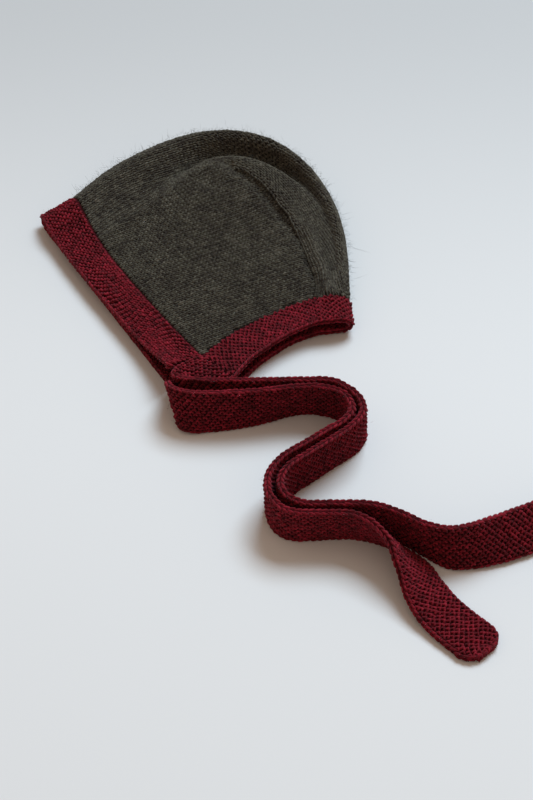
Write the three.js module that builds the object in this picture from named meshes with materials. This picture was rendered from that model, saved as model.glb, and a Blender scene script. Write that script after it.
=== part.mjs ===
// A knitted baby bonnet lying on its side, folded flat along its centre line: a one-piece
// hollow crown, a face band, a neck band, and two flat ties that run away from its corner.
// Millimetres, +Z up, the surface it lies on is z = 0. In the tables the origin is the corner
// where the face edge meets the neck edge; the finished group is centred on its own box.
import * as THREE from "three";

const CROWN_WALL = 3.2;
const BAND_WALL = 3.9;
const TIE_WIDTH = 23;
const TIE_CORNER_RADIUS = 9;
const SEAM_GAP = 0.35;
const TIE_GAP = 0.5;

// Mesh densities
const CROWN_ROWS = 30;
const SAMPLES_PER_SPAN = 4;
const FOLD_STATION = 5;
const BAND_STEPS = 3;
const TIE_STEPS_PER_BEND = 3;
const TIE_TIP_STEPS = 8;
const TIE_STEPS_ACROSS = 3;

// The crown and the face band are lofted through sections that run from the hem of the upper
// layer, over the fold, to the hem of the lower layer. hem and fold are the ends of a section,
// with the height of the middle of the wall there, and bow is how far the section curves
// towards the face in plan. The other columns are [distance from the fold, height]: ridge is
// the roll along the fold, dip the dent inside it and shelf the edge of the flat side. mid
// gives its distance as a share of the section's length.
const CROWN_SECTIONS = [
  {
    hem: [16, 7, 11.5], fold: [-61.5, 140, 7.3], bow: 3.2,
    mid: [0.64, 9.8], shelf: [48, 7.8], dip: [26, 10.9], ridge: [9, 15.6],
  },
  {
    hem: [24, 16, 11.5], fold: [-40, 167, 9], bow: 2.8,
    mid: [0.64, 11.6], shelf: [50, 8.8], dip: [28, 12.4], ridge: [11.5, 18],
  },
  {
    hem: [33, 25, 11.5], fold: [-13, 188, 9.5], bow: 1.6,
    mid: [0.6, 12.5], shelf: [44, 13.8], dip: [28, 9.8], ridge: [10.5, 18.6],
  },
  {
    hem: [43, 32.5, 11.5], fold: [10, 198, 10], bow: 0.6,
    mid: [0.6, 12.5], shelf: [33, 16.8], dip: [23, 7.4], ridge: [10, 19.2],
  },
  {
    hem: [52, 39, 11.5], fold: [34, 198, 10], bow: 0,
    mid: [0.6, 12.5], shelf: [30, 16.8], dip: [20.5, 6.9], ridge: [9, 19.5],
  },
  {
    hem: [60, 44, 11.5], fold: [56, 187, 10], bow: 0,
    mid: [0.6, 12.5], shelf: [31, 16.2], dip: [20.5, 7.6], ridge: [9, 19.5],
  },
  {
    hem: [66, 47.5, 11.5], fold: [74, 166, 10], bow: 0,
    mid: [0.6, 12.5], shelf: [29, 14.5], dip: [19, 12.2], ridge: [9, 18.5],
  },
  {
    hem: [71, 50, 11.5], fold: [86, 140, 9.5], bow: 0,
    mid: [0.6, 12.5], shelf: [27, 13.8], dip: [18, 14], ridge: [9, 17],
  },
  {
    hem: [74.5, 51.5, 11.5], fold: [92, 113, 9], bow: 0,
    mid: [0.65, 12.5], shelf: [24, 13.2], dip: [16, 14], ridge: [8, 16],
  },
  {
    hem: [76.5, 52.5, 11.5], fold: [94, 85, 8], bow: 0,
    mid: [0.75, 12], shelf: [20, 12.5], dip: [13, 13.5], ridge: [7, 14.5],
  },
  {
    hem: [77.5, 53, 11.5], fold: [94, 55, 6.8], bow: 0,
    mid: [0.85, 11.6], shelf: [11, 11.7], dip: [7.5, 11.6], ridge: [4, 11],
  },
];

// Where the lower layer touches down, as shares of the ridge's and the dip's distances and of
// the section's length.
const UNDER_ROLL = 0.9;
const UNDER_DIP = 1.2;
const UNDER_MIDDLE = 0.6;

// The face band's open edge, as one more such section. Its upper layer laps past the lower one
// by FACE_LAP where it laps most, a third of the way from the fold.
const FACE_LAP = 2.8;
const FACE_EDGE = {
  hem: [0, -5.9, 16.5], fold: [-79, 127, 6], bow: 0,
  mid: [0.84, 9.6], shelf: [44, 7.2], dip: [24, 7.2], ridge: [7, 8.6],
};

// The open edge of the neck band. at counts crown sections along the upper hem (0 to 10), then
// goes round the nape (10 to 12), and counts the sections back along the lower hem (12 to 22).
const NAPE_SPAN = 2;
const NECK_EDGE = [
  { at: 0, edge: [33.2, -9.6, 11.5] },
  { at: 1, edge: [39, 0, 11.5] },
  { at: 2, edge: [46.5, 9.5, 11.5] },
  { at: 4, edge: [62, 23.5, 11.5] },
  { at: 7, edge: [75, 31.5, 11.5] },
  { at: 10, edge: [81, 33, 11.8] },
  { at: 10.9, edge: [91.5, 34.5, 11.3] },
  { at: 11.1, edge: [95.5, 36, 7] },
  { at: 11.33, edge: [92, 36.5, 2.6] },
  { at: 12, edge: [83.5, 35.5, 2.1] },
  { at: 15, edge: [76, 33.5, 2.1] },
  { at: 18, edge: [63, 26.5, 2.1] },
  { at: 20, edge: [47.5, 12, 2.1] },
  { at: 21, edge: [39.5, 1.5, 2.1] },
  { at: 22, edge: [33.2, -9.6, 2.1] },
];

// The ties, from the neck band to the tip: the top and bottom edge of the strip at each bend.
// The left tie leaves the upper layer and the right tie the lower one.
const LEFT_TIE = [
  { top: [10.2, 0.8, 13.9], bottom: [27, -15, 9.8] },
  { top: [2.8, -6.6, 17], bottom: [19.5, -22.5, 8] },
  { top: [1.6, -12.4, 19.2], bottom: [18, -26.5, 5.5] },
  { top: [6.5, -16.6, 20.5], bottom: [22, -27.5, 3.2] },
  { top: [20, -20.2, 21.8], bottom: [30, -26.5, 0.8] },
  { top: [42, -22, 23.2], bottom: [44, -24.5, 0] },
  { top: [66, -22.2, 23.8], bottom: [66, -18.8, 0] },
  { top: [82, -22.5, 24], bottom: [82, -19.8, 0] },
  { top: [90.5, -27.5, 24], bottom: [91, -25, 0] },
  { top: [96.5, -35, 24], bottom: [97.5, -33, 0] },
  { top: [98, -43.5, 24], bottom: [99, -42, 0] },
  { top: [94, -52, 24], bottom: [94.5, -51, 0] },
  { top: [85.5, -60.5, 24], bottom: [85.5, -59, 0] },
  { top: [73.5, -70.5, 24], bottom: [73.5, -69.5, 0] },
  { top: [62.5, -79.5, 24], bottom: [62.5, -79, 0] },
  { top: [57.3, -88, 24], bottom: [57.5, -87.5, 0] },
  { top: [57, -95.5, 24], bottom: [57.5, -94, 0] },
  { top: [61, -102, 24], bottom: [61.5, -99.5, 0] },
  { top: [69, -105.5, 24], bottom: [69.5, -102, 0] },
  { top: [84, -105.5, 24], bottom: [84.5, -101.5, 0] },
  { top: [99, -106, 24], bottom: [98.5, -104, 0] },
  { top: [112, -110.5, 23], bottom: [111.5, -108, 0] },
  { top: [123.5, -117.5, 22], bottom: [126, -118.5, 0] },
  { top: [134.5, -120.3, 21], bottom: [136.5, -126, 0] },
  { top: [146, -117.5, 20.5], bottom: [149, -126, 0] },
  { top: [160, -110, 18.3], bottom: [163.5, -122.5, 0] },
  { top: [176, -101.6, 16.8], bottom: [180, -116, 0] },
  { top: [194, -93.5, 16.5], bottom: [198, -108, 0] },
  { top: [211, -87, 16.5], bottom: [215, -101.5, 0] },
];
const RIGHT_TIE = [
  { top: [7, -2.2, 3.2], bottom: [23, -19.5, 2.1] },
  { top: [0.2, -9.3, 9], bottom: [13, -28, 2.1] },
  { top: [-0.6, -17.2, 17], bottom: [6.6, -34.8, 2.1] },
  { top: [4, -25.8, 21], bottom: [9.8, -38, 1] },
  { top: [16, -30.5, 22.8], bottom: [20, -37, 0] },
  { top: [42, -30.3, 23.5], bottom: [42, -32.3, 0] },
  { top: [66, -27.2, 24], bottom: [66, -23.8, 0] },
  { top: [79, -27.5, 24], bottom: [79.5, -24.7, 0] },
  { top: [88, -31.5, 24], bottom: [88.5, -29, 0] },
  { top: [92, -38, 24], bottom: [92.5, -36, 0] },
  { top: [92.3, -44.5, 24], bottom: [93, -43, 0] },
  { top: [88, -51, 24], bottom: [88.5, -49.5, 0] },
  { top: [80, -57.3, 24], bottom: [80.5, -55.5, 0] },
  { top: [69.3, -66, 24], bottom: [69.5, -64.5, 0] },
  { top: [57.5, -75.5, 24], bottom: [58, -75, 0] },
  { top: [51.5, -85.5, 24], bottom: [52, -85, 0] },
  { top: [50.5, -96, 24], bottom: [51.5, -95, 0] },
  { top: [54.5, -105.5, 24], bottom: [55.5, -104, 0] },
  { top: [63, -110.8, 24], bottom: [64, -108.5, 0] },
  { top: [80, -111.5, 24], bottom: [80.5, -107.5, 0] },
  { top: [91, -112.5, 24], bottom: [92.5, -107.5, 0] },
  { top: [100, -118, 23], bottom: [104.5, -110.8, 0] },
  { top: [106.5, -127, 20], bottom: [115.2, -116.2, 0] },
  { top: [110.5, -139, 12.5], bottom: [126, -125, 0] },
  { top: [114.5, -151.5, 6.5], bottom: [132.5, -137, 1] },
  { top: [122, -164, 3], bottom: [140, -148.3, 1.5] },
  { top: [133.5, -176, 2.1], bottom: [150.5, -160.5, 2.1] },
  { top: [141.5, -184.5, 2.1], bottom: [158.5, -169, 2.1] },
];

const crownYarn = new THREE.MeshStandardMaterial({ color: 0x4a4639, roughness: 0.95 });
const bandYarn = new THREE.MeshStandardMaterial({ color: 0x6b1424, roughness: 0.9 });

const lerp = THREE.MathUtils.lerp;
const point = (xyz) => new THREE.Vector3(...xyz);

// Catmull-Rom through a[i], a[i+1] at fraction f, for plain numbers and for arrays of them.
function through(values, position) {
  const last = values.length - 1;
  const i = Math.min(Math.floor(position), last - 1);
  const f = position - i;
  const at = (k) => {
    if (k < 0) return blend(values[0], values[1], -1);
    if (k > last) return blend(values[last], values[last - 1], -1);
    return values[k];
  };
  const weights = [
    -0.5 * f + f * f - 0.5 * f * f * f,
    1 - 2.5 * f * f + 1.5 * f * f * f,
    0.5 * f + 2 * f * f - 1.5 * f * f * f,
    -0.5 * f * f + 0.5 * f * f * f,
  ];
  const four = [at(i - 1), at(i), at(i + 1), at(i + 2)];
  return sum(four, weights);
}

function blend(a, b, f) {
  if (Array.isArray(a)) return a.map((v, k) => lerp(v, b[k], f));
  return lerp(a, b, f);
}

function sum(four, weights) {
  const mix = (get) => four.reduce((total, v, k) => total + weights[k] * get(v), 0);
  if (Array.isArray(four[0])) return four[0].map((_, k) => mix((v) => v[k]));
  return mix((v) => v);
}

// One section at a fractional row of a table.
function sectionAt(sections, row) {
  const section = {};
  for (const column of Object.keys(sections[0])) {
    section[column] = through(sections.map((s) => s[column]), row);
  }
  return section;
}

// Curves that are 0 at both ends of 0 to 1, with their peak of 1 at a half and at a third.
const halfwayBump = (f) => 4 * f * (1 - f);
const thirdWayBump = (f) => (27 / 4) * f * (1 - f) ** 2;

// The middle of the wall along one section, from the upper hem to the lower hem.
function profile(s, wall, lap = 0) {
  const floor = wall / 2;
  const fold = new THREE.Vector2(s.fold[0], s.fold[1]);
  const hem = new THREE.Vector2(s.hem[0], s.hem[1]);
  const along = hem.distanceTo(fold);
  const faceward = hem.clone().sub(fold).divideScalar(along).rotateAround(new THREE.Vector2(), -Math.PI / 2);
  const stations = [
    [along, s.hem[2]],
    [along * s.mid[0], s.mid[1]],
    s.shelf,
    s.dip,
    s.ridge,
    [0, s.fold[2]],
    [s.ridge[0] * UNDER_ROLL, floor],
    [s.dip[0] * UNDER_DIP, floor],
    [along * UNDER_MIDDLE, floor],
    [along, floor],
  ];
  const curve = new THREE.CatmullRomCurve3(
    stations.map(([inward, z]) => new THREE.Vector3(inward, 0, z)),
    false,
    "centripetal",
  );
  return curve.getPoints(SAMPLES_PER_SPAN * (stations.length - 1)).map((p, k) => {
    const f = p.x / along;
    const upper = k < SAMPLES_PER_SPAN * FOLD_STATION;
    const bowed = s.bow * halfwayBump(f);
    const lapped = upper ? lap * thirdWayBump(f) : 0;
    const plan = fold.clone().lerp(hem, f).addScaledVector(faceward, bowed + lapped);
    return new THREE.Vector3(plan.x, plan.y, Math.max(p.z, floor));
  });
}

// Unit normals of a grid of points, on the side that faces up on the upper layer: each point
// takes the mean of the cells round it.
function gridNormals(grid) {
  const normals = grid.map((line) => line.map(() => new THREE.Vector3()));
  for (let i = 0; i < grid.length - 1; i++) {
    for (let j = 0; j < grid[0].length - 1; j++) {
      const diagonal = grid[i + 1][j + 1].clone().sub(grid[i][j]);
      const cell = diagonal.cross(grid[i][j + 1].clone().sub(grid[i + 1][j]));
      for (const [k, l] of [[i, j], [i + 1, j], [i, j + 1], [i + 1, j + 1]]) normals[k][l].add(cell);
    }
  }
  return normals.map((line) => line.map((n) => n.normalize()));
}

// A closed wall round a grid of points: both faces at half the thickness, and the four rims.
// Where it lies on the surface it is flattened there.
function wallGeometry(grid, thickness, normals = gridNormals(grid)) {
  const rows = grid.length;
  const columns = grid[0].length;
  const corner = (i, j, side) => {
    const p = grid[i][j].clone().addScaledVector(normals[i][j], side * thickness);
    return [p.x, p.y, Math.max(p.z, 0)];
  };
  const positions = [0.5, -0.5].flatMap((side) =>
    grid.flatMap((line, i) => line.flatMap((_, j) => corner(i, j, side))),
  );
  const outer = (i, j) => i * columns + j;
  const inner = (i, j) => (rows + i) * columns + j;
  const triangles = [];
  const quad = (a, b, c, d) => triangles.push(a, b, c, a, c, d);
  const bottom = rows - 1;
  const right = columns - 1;
  for (let i = 0; i < bottom; i++) {
    for (let j = 0; j < right; j++) {
      quad(outer(i, j), outer(i + 1, j), outer(i + 1, j + 1), outer(i, j + 1));
      quad(inner(i, j), inner(i, j + 1), inner(i + 1, j + 1), inner(i + 1, j));
    }
    quad(outer(i, 0), inner(i, 0), inner(i + 1, 0), outer(i + 1, 0));
    quad(outer(i, right), outer(i + 1, right), inner(i + 1, right), inner(i, right));
  }
  for (let j = 0; j < right; j++) {
    quad(outer(0, j), outer(0, j + 1), inner(0, j + 1), inner(0, j));
    quad(outer(bottom, j), inner(bottom, j), inner(bottom, j + 1), outer(bottom, j + 1));
  }
  const geometry = new THREE.BufferGeometry();
  geometry.setAttribute("position", new THREE.Float32BufferAttribute(positions, 3));
  geometry.setIndex(triangles);
  geometry.computeVertexNormals();
  return geometry;
}

function crownGrid() {
  const grid = [];
  for (let k = 0; k <= CROWN_ROWS; k++) {
    const row = (k / CROWN_ROWS) * (CROWN_SECTIONS.length - 1);
    grid.push(profile(sectionAt(CROWN_SECTIONS, row), CROWN_WALL));
  }
  return grid;
}

// A band between a seam and its open edge, as lines that run along it. Its first line stands
// off the crown's rim, within the crown's wall, and keeps that rim's normals.
function bandBetween(rim, openEdge) {
  const seam = rim.points.map((p, k) => {
    const next = rim.points[Math.min(k + 1, rim.points.length - 1)];
    const along = next.clone().sub(rim.points[Math.max(k - 1, 0)]).normalize();
    const out = along.cross(rim.normals[k]).normalize();
    if (out.dot(openEdge[k].clone().sub(p)) < 0) out.negate();
    const start = p.clone().addScaledVector(out, SEAM_GAP);
    start.z = Math.max(start.z, BAND_WALL / 2);
    return start;
  });
  const grid = [];
  for (let k = 0; k <= BAND_STEPS; k++) {
    grid.push(seam.map((p, j) => p.clone().lerp(openEdge[j], k / BAND_STEPS)));
  }
  const normals = gridNormals(grid);
  normals[0] = rim.normals.map((n, j) => (n.dot(normals[0][j]) < 0 ? n.clone().negate() : n));
  return { grid, normals };
}

function faceBand(crown) {
  const rim = { points: crown.grid[0], normals: crown.normals[0] };
  return bandBetween(rim, profile(FACE_EDGE, BAND_WALL, FACE_LAP));
}

// The neck band follows the crown's rim: along the upper hem, round the nape, and back.
function neckBand(crown) {
  const sections = CROWN_SECTIONS.length - 1;
  const around = (grid) => [
    ...grid.map((line) => line[0]),
    ...grid.at(-1).slice(1, -1),
    ...grid.map((line) => line.at(-1)).reverse(),
  ];
  const rim = { points: around(crown.grid), normals: around(crown.normals) };
  const napeSteps = crown.grid[0].length - 1;
  const openEdge = rim.points.map((_, k) => {
    const round = (k - CROWN_ROWS) / napeSteps;
    const back = (k - CROWN_ROWS - napeSteps) / CROWN_ROWS;
    if (round <= 0) return neckEdgeAt((k / CROWN_ROWS) * sections);
    if (round < 1) return neckEdgeAt(sections + NAPE_SPAN * round);
    return neckEdgeAt(sections * (1 + back) + NAPE_SPAN);
  });
  return bandBetween(rim, openEdge);
}

// The point of the neck band's open edge across from a place on the crown's rim.
function neckEdgeAt(place) {
  const last = NECK_EDGE.length - 1;
  let i = 0;
  while (i < last - 1 && NECK_EDGE[i + 1].at < place) i++;
  const f = (place - NECK_EDGE[i].at) / (NECK_EDGE[i + 1].at - NECK_EDGE[i].at);
  return point(through(NECK_EDGE.map((row) => row.edge), i + f));
}

// A tie as lines across the strip, from just past the end of the neck band to the tip.
function tieGrid(bends, bandEnd) {
  const tops = bends.map((bend) => bend.top);
  const bottoms = bends.map((bend) => bend.bottom);
  const [seam, edge] = [bandEnd[0], bandEnd.at(-1)];
  const away = point(tops[0]).add(point(bottoms[0])).sub(seam).sub(edge).normalize();
  const across = edge.clone().sub(seam).normalize();
  away.addScaledVector(across, -away.dot(across)).normalize();
  tops.unshift(seam.clone().addScaledVector(away, TIE_GAP).toArray());
  bottoms.unshift(edge.clone().addScaledVector(away, TIE_GAP).toArray());

  const places = [];
  for (let i = 0; i < tops.length - 2; i++) {
    for (let k = 0; k < TIE_STEPS_PER_BEND; k++) places.push(i + k / TIE_STEPS_PER_BEND);
  }
  for (let k = 0; k <= TIE_TIP_STEPS; k++) {
    places.push(tops.length - 1 - (1 - k / TIE_TIP_STEPS) ** 2);
  }
  const ribs = places.map((place) => {
    const top = point(through(tops, place));
    const bottom = point(through(bottoms, place));
    const centre = top.clone().add(bottom).multiplyScalar(0.5);
    return { centre, up: top.sub(bottom).normalize() };
  });
  const tip = ribs.at(-1).centre;
  return ribs.map(({ centre, up }) => {
    const inside = Math.max(TIE_CORNER_RADIUS - centre.distanceTo(tip), 0);
    const half = TIE_WIDTH / 2 - TIE_CORNER_RADIUS + Math.sqrt(TIE_CORNER_RADIUS ** 2 - inside ** 2);
    return strip(centre, up, half);
  });
}

function strip(centre, up, half) {
  const line = [];
  for (let k = 0; k <= TIE_STEPS_ACROSS; k++) {
    line.push(centre.clone().addScaledVector(up, half * (1 - (2 * k) / TIE_STEPS_ACROSS)));
  }
  return line;
}

// Lifts each line across a strip until no corner of the wall is under the surface it lies on.
function settle(grid, thickness) {
  const normals = gridNormals(grid);
  grid.forEach((line, i) => {
    const lowest = Math.min(...line.map((p, j) => p.z - (Math.abs(normals[i][j].z) * thickness) / 2));
    if (lowest < 0) line.forEach((p) => (p.z -= lowest));
  });
  return grid;
}

function piece(name, geometry, material) {
  const mesh = new THREE.Mesh(geometry, material);
  mesh.name = name;
  return mesh;
}

const crown = { grid: crownGrid() };
crown.normals = gridNormals(crown.grid);
const face = faceBand(crown);
const neck = neckBand(crown);
const endOf = (band, at) => band.grid.map((line) => line.at(at));
const leftTie = settle(tieGrid(LEFT_TIE, endOf(neck, 0)), BAND_WALL);
const rightTie = settle(tieGrid(RIGHT_TIE, endOf(neck, -1)), BAND_WALL);

const bonnet = new THREE.Group();
bonnet.add(piece("crown", wallGeometry(crown.grid, CROWN_WALL), crownYarn));
bonnet.add(piece("face_band", wallGeometry(face.grid, BAND_WALL, face.normals), bandYarn));
bonnet.add(piece("neck_band", wallGeometry(neck.grid, BAND_WALL, neck.normals), bandYarn));
bonnet.add(piece("tie_left", wallGeometry(leftTie, BAND_WALL), bandYarn));
bonnet.add(piece("tie_right", wallGeometry(rightTie, BAND_WALL), bandYarn));

const box = new THREE.Box3().setFromObject(bonnet);
const middle = box.getCenter(new THREE.Vector3());
bonnet.position.set(-middle.x, -middle.y, 0);

export default bonnet;
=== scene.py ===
import math

import bpy
import numpy as np
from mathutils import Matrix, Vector
from mathutils.bvhtree import BVHTree


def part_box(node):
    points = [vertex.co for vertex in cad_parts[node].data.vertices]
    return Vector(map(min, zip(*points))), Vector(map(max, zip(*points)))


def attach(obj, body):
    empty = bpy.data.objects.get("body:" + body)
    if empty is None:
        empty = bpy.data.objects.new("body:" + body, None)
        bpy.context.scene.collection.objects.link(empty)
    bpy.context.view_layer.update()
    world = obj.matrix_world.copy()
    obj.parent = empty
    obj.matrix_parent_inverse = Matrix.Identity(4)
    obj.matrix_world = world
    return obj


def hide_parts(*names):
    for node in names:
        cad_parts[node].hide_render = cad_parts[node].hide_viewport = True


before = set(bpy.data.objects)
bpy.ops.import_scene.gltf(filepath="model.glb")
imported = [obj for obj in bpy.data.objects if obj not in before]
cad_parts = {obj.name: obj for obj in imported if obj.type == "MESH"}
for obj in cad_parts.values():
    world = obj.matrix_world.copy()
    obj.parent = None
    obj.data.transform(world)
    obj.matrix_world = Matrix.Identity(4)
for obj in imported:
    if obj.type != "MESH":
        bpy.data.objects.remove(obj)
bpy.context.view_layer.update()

MM = 0.001
SEED = 11

# ---------------------------------------------------------------- sizes, as in the model
CROWN_WALL = 3.2
BAND_WALL = 3.9
TIE_WIDTH = 23
TIE_CORNER_RADIUS = 9
SEAM_GAP = 0.35
TIE_GAP = 0.5

# Sections of the crown from the upper hem over the fold to the lower hem: hem and fold are its
# ends, bow how far it curves towards the face, and the rest are (distance from the fold, height).
CROWN_SECTIONS = [
    dict(hem=(16, 7, 11.5), fold=(-61.5, 140, 7.3), bow=3.2,
         mid=(0.64, 9.8), shelf=(48, 7.8), dip=(26, 10.9), ridge=(9, 15.6)),
    dict(hem=(24, 16, 11.5), fold=(-40, 167, 9), bow=2.8,
         mid=(0.64, 11.6), shelf=(50, 8.8), dip=(28, 12.4), ridge=(11.5, 18)),
    dict(hem=(33, 25, 11.5), fold=(-13, 188, 9.5), bow=1.6,
         mid=(0.6, 12.5), shelf=(44, 13.8), dip=(28, 9.8), ridge=(10.5, 18.6)),
    dict(hem=(43, 32.5, 11.5), fold=(10, 198, 10), bow=0.6,
         mid=(0.6, 12.5), shelf=(33, 16.8), dip=(23, 7.4), ridge=(10, 19.2)),
    dict(hem=(52, 39, 11.5), fold=(34, 198, 10), bow=0,
         mid=(0.6, 12.5), shelf=(30, 16.8), dip=(20.5, 6.9), ridge=(9, 19.5)),
    dict(hem=(60, 44, 11.5), fold=(56, 187, 10), bow=0,
         mid=(0.6, 12.5), shelf=(31, 16.2), dip=(20.5, 7.6), ridge=(9, 19.5)),
    dict(hem=(66, 47.5, 11.5), fold=(74, 166, 10), bow=0,
         mid=(0.6, 12.5), shelf=(29, 14.5), dip=(19, 12.2), ridge=(9, 18.5)),
    dict(hem=(71, 50, 11.5), fold=(86, 140, 9.5), bow=0,
         mid=(0.6, 12.5), shelf=(27, 13.8), dip=(18, 14), ridge=(9, 17)),
    dict(hem=(74.5, 51.5, 11.5), fold=(92, 113, 9), bow=0,
         mid=(0.65, 12.5), shelf=(24, 13.2), dip=(16, 14), ridge=(8, 16)),
    dict(hem=(76.5, 52.5, 11.5), fold=(94, 85, 8), bow=0,
         mid=(0.75, 12), shelf=(20, 12.5), dip=(13, 13.5), ridge=(7, 14.5)),
    dict(hem=(77.5, 53, 11.5), fold=(94, 55, 6.8), bow=0,
         mid=(0.85, 11.6), shelf=(11, 11.7), dip=(7.5, 11.6), ridge=(4, 11)),
]
FACE_EDGE = dict(hem=(0, -5.9, 16.5), fold=(-79, 127, 6), bow=0,
                 mid=(0.84, 9.6), shelf=(44, 7.2), dip=(24, 7.2), ridge=(7, 8.6))

# Hollows in the upper layer, or swellings where the depth is negative, and the line of decreases
# that runs down it, with a groove and a ridge along it.
DENTS = [
    dict(at=(17, 147), depth=2.0, radius=5),
    dict(at=(26, 163), depth=1.4, radius=3.5),
    dict(at=(-20, 140), depth=0.8, radius=14),
    dict(at=(30, 105), depth=0.6, radius=16),
    dict(at=(52, 75), depth=-0.5, radius=14),
    dict(at=(-15, 90), depth=-0.5, radius=16),
]
DECREASE_LINE = [(29, 161), (44, 144), (53, 130), (62, 113), (70, 100), (75, 79), (78, 68), (79, 56)]
GROOVE = dict(away=-0.8, height=-2.4, radius=1.9)
RIDGE = dict(away=4, height=1.9, radius=2.3)
DECREASE_STEPS = 85

# How far the face band's upper layer reaches past its lower one.
FACE_LAP = 2.8

# Where the lower layer's points lie, as shares of the upper layer's ridge and dip distances and
# of the section's length.
UNDER_ROLL = 0.9
UNDER_DIP = 1.2
UNDER_MIDDLE = 0.6

# The open edge of the neck band, by place on the crown's rim: sections along the upper hem,
# round the nape, and back along the lower hem.
NAPE_SPAN = 2
NECK_EDGE = [
    dict(at=0, edge=(33.2, -9.6, 11.5)),
    dict(at=1, edge=(39, 0, 11.5)),
    dict(at=2, edge=(46.5, 9.5, 11.5)),
    dict(at=4, edge=(62, 23.5, 11.5)),
    dict(at=7, edge=(75, 31.5, 11.5)),
    dict(at=10, edge=(81, 33, 11.8)),
    dict(at=10.9, edge=(91.5, 34.5, 11.3)),
    dict(at=11.1, edge=(95.5, 36, 7)),
    dict(at=11.33, edge=(92, 36.5, 2.6)),
    dict(at=12, edge=(83.5, 35.5, 2.1)),
    dict(at=15, edge=(76, 33.5, 2.1)),
    dict(at=18, edge=(63, 26.5, 2.1)),
    dict(at=20, edge=(47.5, 12, 2.1)),
    dict(at=21, edge=(39.5, 1.5, 2.1)),
    dict(at=22, edge=(33.2, -9.6, 2.1)),
]

# The ties from the neck band to the tip: the top and bottom edge of the strip at each bend.
LEFT_TIE = [
    dict(top=(10.2, 0.8, 13.9), bottom=(27, -15, 9.8)),
    dict(top=(2.8, -6.6, 17), bottom=(19.5, -22.5, 8)),
    dict(top=(1.6, -12.4, 19.2), bottom=(18, -26.5, 5.5)),
    dict(top=(6.5, -16.6, 20.5), bottom=(22, -27.5, 3.2)),
    dict(top=(20, -20.2, 21.8), bottom=(30, -26.5, 0.8)),
    dict(top=(42, -22, 23.2), bottom=(44, -24.5, 0)),
    dict(top=(66, -22.2, 23.8), bottom=(66, -18.8, 0)),
    dict(top=(82, -22.5, 24), bottom=(82, -19.8, 0)),
    dict(top=(90.5, -27.5, 24), bottom=(91, -25, 0)),
    dict(top=(96.5, -35, 24), bottom=(97.5, -33, 0)),
    dict(top=(98, -43.5, 24), bottom=(99, -42, 0)),
    dict(top=(94, -52, 24), bottom=(94.5, -51, 0)),
    dict(top=(85.5, -60.5, 24), bottom=(85.5, -59, 0)),
    dict(top=(73.5, -70.5, 24), bottom=(73.5, -69.5, 0)),
    dict(top=(62.5, -79.5, 24), bottom=(62.5, -79, 0)),
    dict(top=(57.3, -88, 24), bottom=(57.5, -87.5, 0)),
    dict(top=(57, -95.5, 24), bottom=(57.5, -94, 0)),
    dict(top=(61, -102, 24), bottom=(61.5, -99.5, 0)),
    dict(top=(69, -105.5, 24), bottom=(69.5, -102, 0)),
    dict(top=(84, -105.5, 24), bottom=(84.5, -101.5, 0)),
    dict(top=(99, -106, 24), bottom=(98.5, -104, 0)),
    dict(top=(112, -110.5, 23), bottom=(111.5, -108, 0)),
    dict(top=(123.5, -117.5, 22), bottom=(126, -118.5, 0)),
    dict(top=(134.5, -120.3, 21), bottom=(136.5, -126, 0)),
    dict(top=(146, -117.5, 20.5), bottom=(149, -126, 0)),
    dict(top=(160, -110, 18.3), bottom=(163.5, -122.5, 0)),
    dict(top=(176, -101.6, 16.8), bottom=(180, -116, 0)),
    dict(top=(194, -93.5, 16.5), bottom=(198, -108, 0)),
    dict(top=(211, -87, 16.5), bottom=(215, -101.5, 0)),
]
RIGHT_TIE = [
    dict(top=(7, -2.2, 3.2), bottom=(23, -19.5, 2.1)),
    dict(top=(0.2, -9.3, 9), bottom=(13, -28, 2.1)),
    dict(top=(-0.6, -17.2, 17), bottom=(6.6, -34.8, 2.1)),
    dict(top=(4.0, -25.8, 21), bottom=(9.8, -38, 1)),
    dict(top=(16, -30.5, 22.8), bottom=(20, -37, 0)),
    dict(top=(42, -30.3, 23.5), bottom=(42, -32.3, 0)),
    dict(top=(66, -27.2, 24), bottom=(66, -23.8, 0)),
    dict(top=(79, -27.5, 24), bottom=(79.5, -24.7, 0)),
    dict(top=(88, -31.5, 24), bottom=(88.5, -29, 0)),
    dict(top=(92, -38, 24), bottom=(92.5, -36, 0)),
    dict(top=(92.3, -44.5, 24), bottom=(93, -43, 0)),
    dict(top=(88, -51, 24), bottom=(88.5, -49.5, 0)),
    dict(top=(80, -57.3, 24), bottom=(80.5, -55.5, 0)),
    dict(top=(69.3, -66, 24), bottom=(69.5, -64.5, 0)),
    dict(top=(57.5, -75.5, 24), bottom=(58, -75, 0)),
    dict(top=(51.5, -85.5, 24), bottom=(52, -85, 0)),
    dict(top=(50.5, -96, 24), bottom=(51.5, -95, 0)),
    dict(top=(54.5, -105.5, 24), bottom=(55.5, -104, 0)),
    dict(top=(63, -110.8, 24), bottom=(64, -108.5, 0)),
    dict(top=(80, -111.5, 24), bottom=(80.5, -107.5, 0)),
    dict(top=(91, -112.5, 24), bottom=(92.5, -107.5, 0)),
    dict(top=(100, -118, 23), bottom=(104.5, -110.8, 0)),
    dict(top=(106.5, -127, 20), bottom=(115.2, -116.2, 0)),
    dict(top=(110.5, -139, 12.5), bottom=(126, -125, 0)),
    dict(top=(114.5, -151.5, 6.5), bottom=(132.5, -137, 1)),
    dict(top=(122, -164, 3), bottom=(140, -148.3, 1.5)),
    dict(top=(133.5, -176, 2.1), bottom=(150.5, -160.5, 2.1)),
    dict(top=(141.5, -184.5, 2.1), bottom=(158.5, -169, 2.1)),
]

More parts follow.
